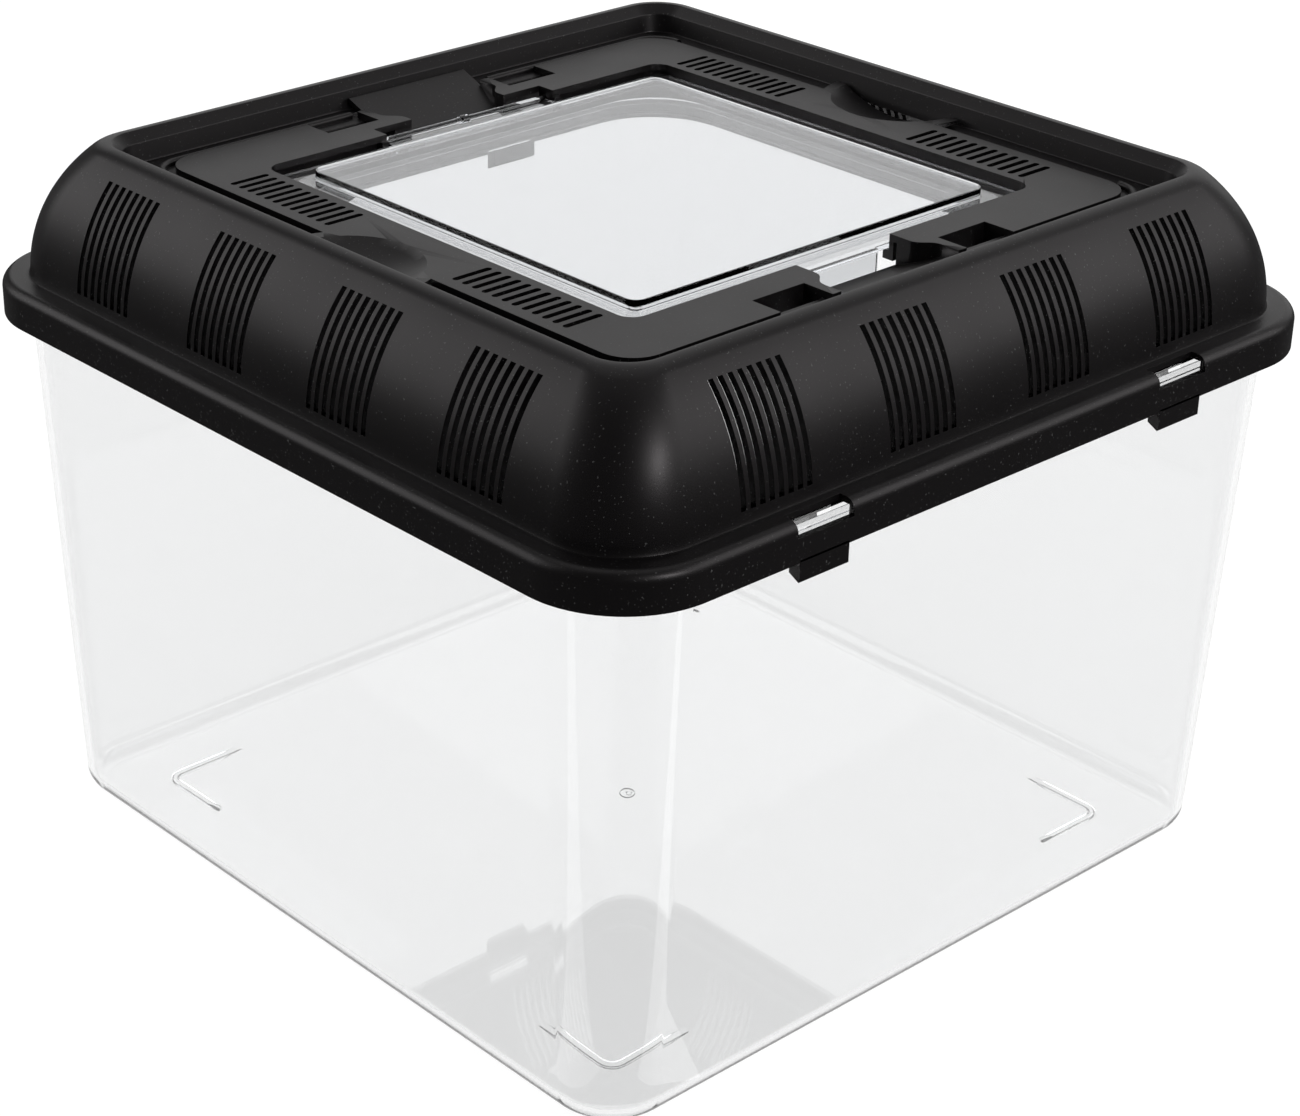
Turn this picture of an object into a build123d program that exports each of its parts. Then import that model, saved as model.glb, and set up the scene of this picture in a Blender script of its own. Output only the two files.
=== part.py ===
"""Reptile breeding box: a clear tank, a vented black lid, a drop-in vent frame and a hinged window.

All sizes are in millimetres, +Z is up and the origin is the bottom centre of the tank.
The hinge of the window lies along the -X side and its finger tab along the +X side.
"""

import os
from math import asin, cos, radians, sin, sqrt, tan

from build123d import *

# Tank body
tank_base_half = 139.75
tank_base_radius = 21.0
tank_draft = 2.5
tank_top = 189.0
tank_wall = 2.2
tank_floor = 2.5
tank_bottom_round = 8.0

# Stacking feet and gate mark under the floor
foot_height = 1.5
foot_width = 3.0
foot_inset = 26.75
foot_corner_radius = 5.0
foot_arm = 31.0
foot_runout = 8.0
gate_radius = 3.5
gate_depth = 0.5

# Lip round the mouth of the tank
lip_overhang = 2.66
lip_height = 6.5
lip_upper_height = 3.5
lip_step = 0.6
lip_chamfer = 1.8

# Flange and skirt of the lid
lid_seat_gap = 0.2
skirt_clearance = 2.4
skirt_wall = 2.0
skirt_height = 12.6
flange_thickness = 2.0
flange_width = 8.6
flange_round = 3.4
flange_corner_radius = 33.0

# Shoulder of the lid: a wide arc that ends in a tighter arc over the rim
shoulder_width = 27.4
dome_rise = 43.3
dome_radius = 55.6
dome_foot_radius = 26.0
dome_wall = 2.2
rim_arc_radius = 8.3
rim_corner_radius = 13.0
rim_flat = 0.4

# Sunk well inside the rim
well_corner_radius = 9.0
well_depth = 9.5
well_draft_inset = 1.0
well_wall = 2.2
ring_thickness = 2.2
ring_width = 13.7
ring_inner_radius = 8.0

# Bead that stands on the well floor
bead_inset = 7.5
bead_width = 2.6
bead_height = 2.0
bead_radius = 10.0
bead_scoop_gap = 2.5
bead_run = 1.5

# Channels in the well floor beside the finger dips
channel_start = 26.5
channel_bead_gap = 2.0
channel_width = 3.7
channel_inset = 6.8
channel_depth = 5.0
channel_wall = 2.0

# Vent slits in the shoulder
slit_width = 1.9
slit_pitch = 3.6
slit_count = 8
slit_foot_gap = 4.0
slit_rim_gap = 5.8
slit_corner_gap = 8.85
slit_reach = 4.5

# Snap hooks of the lid and the windows over them
hook_corner_gap = 33.0
hook_width = 19.2
hook_drop = 6.0
hook_rise = 1.9
hook_catch_gap = 0.9
hook_clearance = 0.3
hook_window_margin = 1.3
hook_window_height = 4.9
hook_window_depth = 5.8

# Vent frame plate
plate_gap_x = 9.6
plate_gap_y = 10.7
plate_radius = 11.0
plate_thickness = 2.2
plate_seat_gap = 0.2
plate_border = 22.9
opening_hinge_inset = 2.0
opening_radius = 5.5

# Wall and ledge that carry the window
frame_wall = 1.8
ledge_depth = 5.2
ledge_thickness = 3.0
ledge_width = 2.3
ledge_hinge_width = 3.9

# Vent slots in the plate
slot_width = 2.2
slot_pitch = 4.3
slot_count = 12
slot_group = 53.5
slot_opening_gap = 3.2
slot_edge_gap = 4.3

# Finger dips on the two sides with vent slots
dip_reach = 12.3
dip_circle = 23.6
dip_depth = 6.0
dip_wall = 2.0
dip_end_gap = 1.2

# Finger scoops on the hinge side and the tab side
scoop_opening_gap = 3.1
scoop_depth = 8.9
scoop_end_gap = 0.7
scoop_end_rise = 1.6
scoop_thickness = 2.2
scoop_half_inner = 20.0
scoop_half_outer = 25.0
scoop_wall = 2.0
scoop_flare_gap = 4.4
scoop_flare_length = 9.0
scoop_notch_gap = 4.0
scoop_notch_clearance = 0.8

# Square notches and snap clips of the plate
clip_reach = 11.4
clip_side_gap = 3.5
clip_length = 21.0
clip_wall = 1.6
clip_drop = 8.2
clip_arm_half = 5.0
clip_nose = 1.4
clip_nose_height = 1.8
clip_clearance = 0.3

# Window
window_gap = 0.6
window_hinge_gap = 2.0
window_flange_radius = 5.0
window_flange_thickness = 1.8
window_seat_gap = 0.2
pane_setback = 10.1
pane_offset = 1.0
pane_drop = 0.4
pane_thickness = 2.0
pane_radius = 4.0
pane_bevel = 0.6

# Hinge of the window
hinge_outset = 2.0
rod_radius = 1.5
pin_clearance = 0.08
pin_end_gap = 0.4
hinge_half = 36.0
hinge_end_gap = 0.8
ear_thickness = 2.6
hinge_gap_outset = 2.9
nub_length = 3.0
nub_height = 0.6

# Finger tab of the window
tab_half = 15.0
tab_overlap = 0.8
tab_thickness = 2.1
tab_drop = 9.4
tab_rib = 1.2
tab_rib_depth = 1.4

# Places that follow from the sizes above: tank and lid
mouth_growth = (tank_top - foot_height) * tan(radians(tank_draft))
mouth_half = tank_base_half + mouth_growth
lip_half = mouth_half + lip_overhang
lip_radius = tank_base_radius + mouth_growth + lip_overhang
lip_bottom = tank_top - lip_height
lip_step_height = tank_top - lip_upper_height
foot_corner = tank_base_half - foot_inset
lid_half = lip_half + skirt_clearance + skirt_wall
flange_bottom = tank_top + lid_seat_gap
flange_top = flange_bottom + flange_thickness
skirt_bottom = flange_top - skirt_height
rim_top = flange_top + dome_rise
dome_foot_half = lid_half - flange_width
dome_inner_foot = dome_foot_half - dome_wall
rim_centre_rise = dome_rise - rim_arc_radius
rim_centre_reach = dome_radius - rim_arc_radius
dome_centre = dome_foot_half - dome_radius
rim_centre = dome_centre + sqrt(rim_centre_reach**2 - rim_centre_rise**2)
rim_join_angle = asin(rim_centre_rise / rim_centre_reach)
corner_growth = (dome_foot_radius - rim_corner_radius) / (dome_foot_half - rim_centre)
well_top_half = dome_foot_half - shoulder_width
well_foot_half = well_top_half - well_draft_inset
well_slope = rim_centre - rim_flat - well_top_half
turn_centre = well_top_half - well_corner_radius
ring_top = rim_top - well_depth
ring_bottom = ring_top - ring_thickness
ring_inner_half = well_foot_half - ring_width
bead_centre = well_foot_half - bead_inset
bead_end = bead_centre - bead_radius - bead_run
channel_length = bead_end - channel_bead_gap - channel_start
channel_middle = well_foot_half - channel_inset - channel_width / 2
channel_centre = channel_start + channel_length / 2
channel_bottom = ring_top - channel_depth
slit_bottom = flange_top + slit_foot_gap
slit_top = rim_top - slit_rim_gap
slit_near = well_top_half + slit_reach
slit_group_half = ((slit_count - 1) * slit_pitch + slit_width) / 2
slit_group_outer = turn_centre - slit_corner_gap - slit_group_half
slit_group_inner = slit_group_outer / 3
hook_centre = turn_centre - hook_corner_gap
hook_bottom = skirt_bottom - hook_drop
hook_top = lip_bottom - hook_catch_gap
hook_inner = lip_half + hook_clearance
hook_window_bottom = flange_top - hook_window_height
hook_window_width = hook_width + 2 * hook_window_margin

# Places that follow from the sizes above: vent frame and window
plate_half_x = well_foot_half - plate_gap_x
plate_half_y = well_foot_half - plate_gap_y
plate_bottom = ring_top + plate_seat_gap
plate_top = plate_bottom + plate_thickness
opening_half = plate_half_x - plate_border
opening_hinge_edge = opening_half - opening_hinge_inset
wall_half = opening_half + frame_wall
ledge_top = plate_top - ledge_depth
ledge_bottom = ledge_top - ledge_thickness
ledge_inner = opening_half - ledge_width
ledge_hinge_inner = opening_hinge_edge - ledge_hinge_width
slot_near = opening_half + slot_opening_gap
slot_far = plate_half_y - slot_edge_gap
dip_near = plate_half_y - dip_reach
dip_end = well_foot_half - dip_end_gap
dip_ball = (dip_circle**2 + dip_depth**2) / (2 * dip_depth)
scoop_near = opening_half + scoop_opening_gap
scoop_far = well_foot_half - scoop_end_gap
scoop_floor = plate_top - scoop_depth
scoop_top = plate_top + scoop_end_rise
scoop_under = scoop_floor - scoop_thickness
scoop_slope = (scoop_top - scoop_floor) / (scoop_far - scoop_near)
scoop_flare_start = scoop_near + scoop_flare_gap
scoop_flare_end = scoop_flare_start + scoop_flare_length
scoop_notch_end = well_foot_half - scoop_notch_gap
scoop_notch_half = scoop_half_outer + scoop_wall + scoop_notch_clearance
bead_start = scoop_half_outer + scoop_wall + bead_scoop_gap
clip_near = plate_half_x - clip_reach
clip_start = scoop_half_outer + clip_side_gap
clip_end = clip_start + clip_length
clip_centre = (clip_start + clip_end) / 2
clip_bottom = plate_bottom - clip_drop
clip_nose_reach = ring_inner_half - clip_clearance
clip_arm_reach = clip_nose_reach - clip_nose
clip_top = ring_bottom - clip_clearance
window_bottom = ledge_top + window_seat_gap
window_flange_top = window_bottom + window_flange_thickness
window_flange_half = opening_half - window_gap
window_hinge_edge = opening_hinge_edge - window_hinge_gap
pane_half = window_flange_half - pane_setback
pane_top = plate_top - pane_drop
hinge_x = -(opening_half + hinge_outset)
hinge_z = window_bottom + window_flange_thickness / 2
hinge_gap_far = hinge_gap_outset - hinge_x
hinge_gap_near = opening_hinge_edge - 1
ear_far = hinge_half + ear_thickness
tab_near = window_flange_half - tab_overlap
tab_far = tab_near + tab_thickness
tab_bottom = window_bottom - tab_drop


def shoulder_sections(depth):
    """Half width, height and corner radius of level sections, at a depth under the face."""
    arcs = [(rim_join_angle * step / 6, dome_centre, flange_top, dome_radius) for step in range(7)]
    for step in range(1, 5):
        angle = rim_join_angle + (radians(90) - rim_join_angle) * step / 4
        arcs.append((angle, rim_centre, rim_top - rim_arc_radius, rim_arc_radius))
    sections = []
    for angle, centre, centre_height, radius in arcs:
        half = centre + (radius - depth) * cos(angle)
        growth = corner_growth * (centre + radius * cos(angle) - rim_centre)
        corner = rim_corner_radius + growth - depth * cos(angle)
        sections.append((half, centre_height + (radius - depth) * sin(angle), corner))
    return sections


with BuildPart() as tank:
    # Drafted outer body with a round bottom edge
    with BuildSketch(Plane.XY.offset(foot_height)):
        RectangleRounded(2 * tank_base_half, 2 * tank_base_half, tank_base_radius)
    extrude(amount=tank_top - foot_height, taper=-tank_draft)
    fillet(tank.edges().group_by(Axis.Z)[0], tank_bottom_round)
    # Lip in two bands with a sloping top edge
    with BuildSketch(Plane.XY.offset(lip_bottom)):
        RectangleRounded(2 * lip_half, 2 * lip_half, lip_radius)
    extrude(amount=lip_step_height - lip_bottom)
    with BuildSketch(Plane.XY.offset(lip_step_height)):
        upper_half = lip_half - lip_step
        RectangleRounded(2 * upper_half, 2 * upper_half, lip_radius - lip_step)
    extrude(amount=tank_top - lip_step_height)
    chamfer(tank.edges().group_by(Axis.Z)[-1], lip_chamfer)
    # Hollow inside
    inner_half = tank_base_half - tank_wall
    with BuildSketch(Plane.XY.offset(foot_height + tank_floor)):
        RectangleRounded(2 * inner_half, 2 * inner_half, tank_base_radius - tank_wall)
    extrude(amount=tank_top - foot_height - tank_floor, taper=-tank_draft, mode=Mode.SUBTRACT)
    floor_edges = tank.faces().filter_by(Axis.Z).sort_by(Axis.Z)[1].edges()
    fillet(floor_edges, tank_bottom_round - tank_wall)
    # Four stacking feet with run-out ends
    for turn in range(4):
        with BuildSketch(Plane.XY.rotated((0, 0, 90 * turn))):
            with BuildLine():
                FilletPolyline(
                    (foot_corner - foot_arm, foot_corner),
                    (foot_corner, foot_corner),
                    (foot_corner, foot_corner - foot_arm),
                    radius=foot_corner_radius,
                )
            trace(line_width=foot_width)
        extrude(amount=foot_height + 0.5)
    foot_end = foot_corner - foot_arm
    for turn in range(4):
        with BuildSketch(Plane.XZ.rotated((0, 0, 90 * turn))):
            with BuildLine():
                Polyline(
                    (foot_end - 0.5, -0.5),
                    (foot_end + foot_runout, -0.5),
                    (foot_end + foot_runout, 0),
                    (foot_end, foot_height),
                    (foot_end - 0.5, foot_height),
                    close=True,
                )
            make_face()
        extrude(amount=foot_corner + foot_width, both=True, mode=Mode.SUBTRACT)
    # Gate mark
    with BuildSketch(Plane.XY.offset(foot_height)):
        Circle(gate_radius)
    extrude(amount=gate_depth, mode=Mode.SUBTRACT)


with BuildPart() as lid_shell:
    # Flange and skirt
    with BuildSketch(Plane.XY.offset(skirt_bottom)):
        RectangleRounded(2 * lid_half, 2 * lid_half, flange_corner_radius)
    extrude(amount=flange_top - skirt_bottom)
    fillet(lid_shell.edges().group_by(Axis.Z)[-1], flange_round)
    skirt_inner = lid_half - skirt_wall
    with BuildSketch(Plane.XY.offset(skirt_bottom)):
        RectangleRounded(2 * skirt_inner, 2 * skirt_inner, flange_corner_radius - skirt_wall)
    extrude(amount=flange_bottom - skirt_bottom, mode=Mode.SUBTRACT)
    # Shoulder: a hollow loft through level sections with tighter corners towards the rim
    for depth, mode in ((0, Mode.ADD), (dome_wall, Mode.SUBTRACT)):
        with BuildPart(mode=Mode.PRIVATE) as shoulder:
            for half, height, radius in shoulder_sections(depth):
                with BuildSketch(Plane.XY.offset(height)):
                    RectangleRounded(2 * half, 2 * half, radius)
            loft()
        add(shoulder.part, mode=mode)
    with BuildSketch(Plane.XY.offset(flange_bottom)):
        RectangleRounded(2 * dome_inner_foot, 2 * dome_inner_foot, dome_foot_radius - dome_wall)
    extrude(amount=flange_thickness, mode=Mode.SUBTRACT)
    # Well with its wall, its floor and the slope up to the rim
    slope_foot = rim_top - well_slope
    well_outer = well_foot_half + well_wall
    with BuildSketch(Plane.XY.offset(ring_bottom)):
        RectangleRounded(2 * well_outer, 2 * well_outer, well_outer - turn_centre)
    extrude(amount=slope_foot - well_wall - ring_bottom)
    with BuildSketch(Plane.XY.offset(slope_foot - well_wall)):
        RectangleRounded(2 * well_outer, 2 * well_outer, well_outer - turn_centre)
    extrude(amount=well_slope + well_wall / 4, taper=-45)
    with BuildSketch(Plane.XY.offset(ring_top)):
        RectangleRounded(2 * well_foot_half, 2 * well_foot_half, well_foot_half - turn_centre)
    with BuildSketch(Plane.XY.offset(slope_foot)):
        RectangleRounded(2 * well_top_half, 2 * well_top_half, well_corner_radius)
    loft(mode=Mode.SUBTRACT)
    with BuildSketch(Plane.XY.offset(slope_foot)):
        RectangleRounded(2 * well_top_half, 2 * well_top_half, well_corner_radius)
    extrude(amount=well_slope, taper=-45, mode=Mode.SUBTRACT)
    with BuildSketch(Plane.XY.offset(ring_bottom)):
        RectangleRounded(2 * ring_inner_half, 2 * ring_inner_half, ring_inner_radius)
    extrude(amount=ring_thickness, mode=Mode.SUBTRACT)
    # Notches in the well floor for the finger scoops and finger dips of the frame
    dip_notch_half = channel_start - channel_wall
    with BuildSketch(Plane.XY.offset(ring_bottom)):
        notch_depth = scoop_notch_end - ring_inner_half + 1
        with Locations(
            (scoop_notch_end - notch_depth / 2, 0), (notch_depth / 2 - scoop_notch_end, 0)
        ):
            Rectangle(notch_depth, 2 * scoop_notch_half)
        dip_middle = (ring_inner_half - 1 + well_foot_half) / 2
        with Locations((0, dip_middle), (0, -dip_middle)):
            Rectangle(2 * dip_notch_half, well_foot_half - ring_inner_half + 1)
    extrude(amount=ring_thickness, mode=Mode.SUBTRACT)
    # Rounded bead round each corner of the well floor
    for side_x in (1, -1):
        for side_y in (1, -1):
            with BuildSketch(Plane.XY.offset(ring_top)):
                with BuildLine():
                    FilletPolyline(
                        (side_x * bead_centre, side_y * bead_start),
                        (side_x * bead_centre, side_y * bead_centre),
                        (side_x * bead_end, side_y * bead_centre),
                        radius=bead_radius,
                    )
                trace(line_width=bead_width)
            extrude(amount=bead_height)
    bead_top = ring_top + bead_height
    bead_edges = lid_shell.edges().filter_by_position(Axis.Z, bead_top - 0.01, bead_top + 0.01)
    fillet(bead_edges, bead_width / 2 - 0.1)
    # Troughs that make the channels deep
    trough_places = [
        (channel_centre * side_x, channel_middle * side_y)
        for side_x in (1, -1)
        for side_y in (1, -1)
    ]
    with BuildSketch(Plane.XY.offset(channel_bottom - channel_wall)):
        with Locations(*trough_places):
            Rectangle(channel_length + 2 * channel_wall, channel_width + 2 * channel_wall)
    extrude(amount=ring_bottom - channel_bottom + channel_wall)
    with BuildSketch(Plane.XY.offset(channel_bottom)):
        with Locations(*trough_places):
            Rectangle(channel_length, channel_width)
    extrude(amount=ring_top - channel_bottom, mode=Mode.SUBTRACT)
    # Curved vent slits, four groups on each side
    slit_length = lid_half - slit_near
    for turn in range(4):
        with BuildSketch(Plane.XY.offset(slit_bottom).rotated((0, 0, 90 * turn))):
            for group in (slit_group_inner, slit_group_outer):
                for side_y in (1, -1):
                    with Locations((slit_near + slit_length / 2, group * side_y)):
                        with GridLocations(1, slit_pitch, 1, slit_count):
                            Rectangle(slit_length, slit_width)
        extrude(amount=slit_top - slit_bottom, mode=Mode.SUBTRACT)
    # Windows over the snap hooks, and the hooks below them
    with BuildSketch(Plane.XY.offset(hook_window_bottom)):
        with GridLocations(2 * lid_half - hook_window_depth, 2 * hook_centre, 2, 2):
            Rectangle(hook_window_depth, hook_window_width)
    extrude(amount=flange_top - hook_window_bottom, mode=Mode.SUBTRACT)
    for side_y in (1, -1):
        for turn in (0, 180):
            middle = Vector(0, hook_centre * side_y, 0)
            hook_plane = Plane(origin=middle, x_dir=(1, 0, 0), z_dir=(0, -1, 0))
            with BuildSketch(hook_plane.rotated((0, 0, turn))):
                with BuildLine():
                    Polyline(
                        (lid_half, hook_bottom),
                        (lid_half, skirt_bottom + 1),
                        (lid_half - skirt_wall, hook_top),
                        (hook_inner, hook_top),
                        (hook_inner, hook_bottom + hook_rise),
                        close=True,
                    )
                make_face()
            extrude(amount=hook_width / 2, both=True)


with BuildPart() as vent_frame:
    # Plate with its opening, vent slots and clip notches
    opening_centre = (opening_half - opening_hinge_edge) / 2
    with BuildSketch(Plane.XY.offset(plate_bottom)):
        RectangleRounded(2 * plate_half_x, 2 * plate_half_y, plate_radius)
        with Locations((opening_centre, 0)):
            RectangleRounded(
                opening_half + opening_hinge_edge,
                2 * opening_half,
                opening_radius,
                mode=Mode.SUBTRACT,
            )
        with GridLocations(2 * slot_group, slot_near + slot_far, 2, 2):
            with GridLocations(slot_pitch, 1, slot_count, 1):
                SlotOverall(slot_far - slot_near, slot_width, rotation=90, mode=Mode.SUBTRACT)
        clip_span = plate_half_x + 1 - clip_near
        with GridLocations(2 * clip_near + clip_span, clip_start + clip_end, 2, 2):
            Rectangle(clip_span, clip_end - clip_start, mode=Mode.SUBTRACT)
    extrude(amount=plate_thickness)
    # Wall below the opening
    with BuildSketch(Plane.XY.offset(ledge_bottom)):
        RectangleRounded(2 * wall_half, 2 * wall_half, opening_radius + frame_wall)
        RectangleRounded(2 * opening_half, 2 * opening_half, opening_radius, mode=Mode.SUBTRACT)
    extrude(amount=plate_bottom - ledge_bottom)
    # Ledge for the window
    ledge_centre = (ledge_inner - ledge_hinge_inner) / 2
    with BuildSketch(Plane.XY.offset(ledge_bottom)):
        RectangleRounded(2 * wall_half, 2 * wall_half, opening_radius + frame_wall)
        with Locations((ledge_centre, 0)):
            RectangleRounded(
                ledge_inner + ledge_hinge_inner,
                2 * ledge_inner,
                opening_radius - 2,
                mode=Mode.SUBTRACT,
            )
    extrude(amount=ledge_top - ledge_bottom)
    # Finger dips: a spherical bowl in each vented side
    for side_y in (1, -1):
        ball_centre = (0, side_y * (dip_near + dip_circle), plate_top - dip_depth + dip_ball)
        bowl_length = dip_end - dip_near + 2 * dip_wall
        with BuildPart(mode=Mode.PRIVATE) as bowl:
            with Locations(ball_centre):
                Sphere(dip_ball + dip_wall)
            with Locations((0, side_y * (dip_end - bowl_length / 2), plate_top)):
                Box(
                    3 * dip_circle,
                    bowl_length,
                    4 * dip_depth,
                    align=(Align.CENTER, Align.CENTER, Align.MAX),
                    mode=Mode.INTERSECT,
                )
        add(bowl.part)
        with Locations(ball_centre):
            Sphere(dip_ball, mode=Mode.SUBTRACT)
    # Finger scoops: a ramp between two flared side walls
    for turn in (0, 180):
        flat = Plane.XY.rotated((0, 0, turn))
        upright = Plane.XZ.rotated((0, 0, turn))
        with BuildSketch(flat.offset(scoop_under)):
            with Locations(((scoop_near + plate_half_x) / 2, 0)):
                Rectangle(plate_half_x - scoop_near, 2 * (scoop_half_outer + scoop_wall))
        extrude(amount=plate_top - scoop_under)
        with BuildSketch(flat.offset(scoop_under)):
            with Locations(((scoop_far + plate_half_x) / 2, 0)):
                Rectangle(scoop_far - plate_half_x, 2 * scoop_half_outer)
        extrude(amount=scoop_top - scoop_under)
        with BuildSketch(upright):
            with BuildLine():
                Polyline(
                    (scoop_near, scoop_under),
                    (scoop_far + 1, scoop_under + scoop_slope * (scoop_far + 1 - scoop_near)),
                    (scoop_far + 1, scoop_under - 1),
                    (scoop_near, scoop_under - 1),
                    close=True,
                )
            make_face()
        extrude(amount=scoop_half_outer + scoop_wall, both=True, mode=Mode.SUBTRACT)
        with BuildPart(mode=Mode.PRIVATE) as hollow:
            with BuildSketch(flat.offset(scoop_under)):
                with BuildLine():
                    Spline(
                        (scoop_flare_start, scoop_half_inner),
                        (scoop_flare_end, scoop_half_outer),
                        tangents=[(1, 0), (1, 0)],
                    )
                    Polyline(
                        (scoop_flare_end, scoop_half_outer),
                        (scoop_far + 1, scoop_half_outer),
                        (scoop_far + 1, -scoop_half_outer),
                        (scoop_flare_end, -scoop_half_outer),
                    )
                    Spline(
                        (scoop_flare_end, -scoop_half_outer),
                        (scoop_flare_start, -scoop_half_inner),
                        tangents=[(-1, 0), (-1, 0)],
                    )
                    Polyline(
                        (scoop_flare_start, -scoop_half_inner),
                        (scoop_near - 1, -scoop_half_inner),
                        (scoop_near - 1, scoop_half_inner),
                        (scoop_flare_start, scoop_half_inner),
                    )
                make_face()
            extrude(amount=scoop_top - scoop_under + 1)
            with BuildSketch(upright):
                with BuildLine():
                    Polyline(
                        (scoop_near - 2, scoop_floor - 2 * scoop_slope),
                        (scoop_far + 2, scoop_top + 2 * scoop_slope),
                        (scoop_far + 2, scoop_under - 1),
                        (scoop_near - 2, scoop_under - 1),
                        close=True,
                    )
                make_face()
            extrude(amount=2 * scoop_half_outer, both=True, mode=Mode.SUBTRACT)
        add(hollow.part, mode=Mode.SUBTRACT)
    # Gap for the finger tab of the window
    gap_depth = scoop_near - ledge_inner + 1
    with BuildSketch(Plane.XY.offset(ledge_bottom)):
        with Locations((scoop_near - gap_depth / 2, 0)):
            Rectangle(gap_depth, 2 * scoop_half_inner)
    extrude(amount=plate_top - ledge_bottom, mode=Mode.SUBTRACT)
    # Gap for the hinge, and an ear with a pin hole at each end of it
    with BuildSketch(Plane.XY.offset(ledge_bottom)):
        with Locations((-(hinge_gap_far + hinge_gap_near) / 2, 0)):
            Rectangle(hinge_gap_far - hinge_gap_near, 2 * hinge_half)
    extrude(amount=plate_top - ledge_bottom, mode=Mode.SUBTRACT)
    with BuildSketch(Plane.XY.offset(ledge_bottom)):
        with Locations((-(hinge_gap_far + hinge_gap_near) / 2, 0)):
            with GridLocations(1, hinge_half + ear_far, 1, 2):
                Rectangle(hinge_gap_far - hinge_gap_near, ear_thickness)
    extrude(amount=plate_bottom - ledge_bottom)
    with BuildSketch(Plane.XZ):
        with Locations((hinge_x, hinge_z)):
            Circle(rod_radius + pin_clearance)
    extrude(amount=ear_far, both=True, mode=Mode.SUBTRACT)
    # Pocket walls under the clip notches
    pocket_length = clip_end - clip_start + 2 * clip_wall
    with BuildSketch(Plane.XY.offset(clip_bottom)):
        with GridLocations(2 * clip_near - clip_wall, 2 * clip_centre, 2, 2):
            Rectangle(clip_wall, pocket_length)
        end_reach = clip_nose_reach - clip_near
        with GridLocations(2 * clip_near + end_reach, 2 * clip_centre, 2, 2):
            with GridLocations(1, pocket_length - clip_wall, 1, 2):
                Rectangle(end_reach, clip_wall)
    extrude(amount=plate_bottom - clip_bottom)
    # Snap clips inside the pockets
    for side_y in (1, -1):
        for turn in (0, 180):
            middle = Vector(0, clip_centre * side_y, 0)
            clip_plane = Plane(origin=middle, x_dir=(1, 0, 0), z_dir=(0, -1, 0))
            with BuildSketch(clip_plane.rotated((0, 0, turn))):
                with BuildLine():
                    Polyline(
                        (clip_near, clip_bottom),
                        (clip_arm_reach, clip_bottom),
                        (clip_arm_reach, clip_top - clip_nose_height - 1),
                        (clip_nose_reach, clip_top - clip_nose_height + 0.4),
                        (clip_nose_reach, clip_top - 0.5),
                        (clip_arm_reach, clip_top),
                        (clip_arm_reach - clip_wall, clip_top),
                        (clip_arm_reach - clip_wall, clip_bottom + clip_wall),
                        (clip_near, clip_bottom + clip_wall),
                        close=True,
                    )
                make_face()
            extrude(amount=clip_arm_half, both=True)


with BuildPart() as window:
    # Flange that rests on the ledge
    flange_length = window_flange_half + window_hinge_edge
    with BuildSketch(Plane.XY.offset(window_bottom)):
        with Locations(((window_flange_half - window_hinge_edge) / 2, 0)):
            RectangleRounded(flange_length, 2 * window_flange_half, window_flange_radius)
    extrude(amount=window_flange_thickness)
    # Raised pane with a bevelled edge, hollow below
    with BuildSketch(Plane.XY.offset(window_bottom)):
        with Locations((pane_offset, 0)):
            RectangleRounded(2 * pane_half, 2 * pane_half, pane_radius)
    extrude(amount=pane_top - window_bottom)
    chamfer(window.edges().group_by(Axis.Z)[-1], pane_bevel)
    pane_inner = pane_half - pane_thickness
    with BuildSketch(Plane.XY.offset(window_bottom)):
        with Locations((pane_offset, 0)):
            RectangleRounded(2 * pane_inner, 2 * pane_inner, pane_radius - pane_thickness)
    extrude(amount=pane_top - pane_thickness - window_bottom, mode=Mode.SUBTRACT)
    # Hinge strip, rod with pins and the nub on its middle
    strip_length = -hinge_x - window_hinge_edge + 0.5
    with BuildSketch(Plane.XY.offset(window_bottom)):
        with Locations((hinge_x + strip_length / 2, 0)):
            Rectangle(strip_length, 2 * (hinge_half - hinge_end_gap))
    extrude(amount=window_flange_thickness)
    with BuildSketch(Plane.XZ):
        with Locations((hinge_x, hinge_z)):
            Circle(rod_radius)
    extrude(amount=ear_far - pin_end_gap, both=True)
    with BuildSketch(Plane.XZ):
        with Locations((hinge_x, hinge_z)):
            Circle(rod_radius + nub_height)
    extrude(amount=nub_length / 2, both=True)
    # Finger tab with two ribs
    with BuildSketch(Plane.XY.offset(tab_bottom)):
        with Locations(((tab_near + tab_far) / 2, 0)):
            Rectangle(tab_far - tab_near, 2 * tab_half)
        with Locations((tab_far + tab_rib_depth / 2, 0)):
            with GridLocations(1, tab_half, 1, 2):
                Rectangle(tab_rib_depth, tab_rib)
    extrude(amount=window_flange_top - tab_bottom)


tank.part.label = "tank"
lid_shell.part.label = "lid_shell"
vent_frame.part.label = "vent_frame"
window.part.label = "window"

os.makedirs("parts", exist_ok=True)
export_step(tank.part, "parts/tank.step")
export_step(lid_shell.part, "parts/lid_shell.step")
export_step(vent_frame.part, "parts/vent_frame.step")
export_step(window.part, "parts/window.step")
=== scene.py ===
"""Looks of a reptile breeding box: clear tank, black vented lid, drop-in vent frame, clear window.

The file is laid out as an add-on. Each operator makes one piece of the box from the sizes in the
panel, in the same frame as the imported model, and the last operator makes the studio round it.
"""

import math

import bmesh
import bpy
from bpy.props import FloatProperty, FloatVectorProperty, IntProperty, PointerProperty
from mathutils import Matrix, Vector


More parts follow.
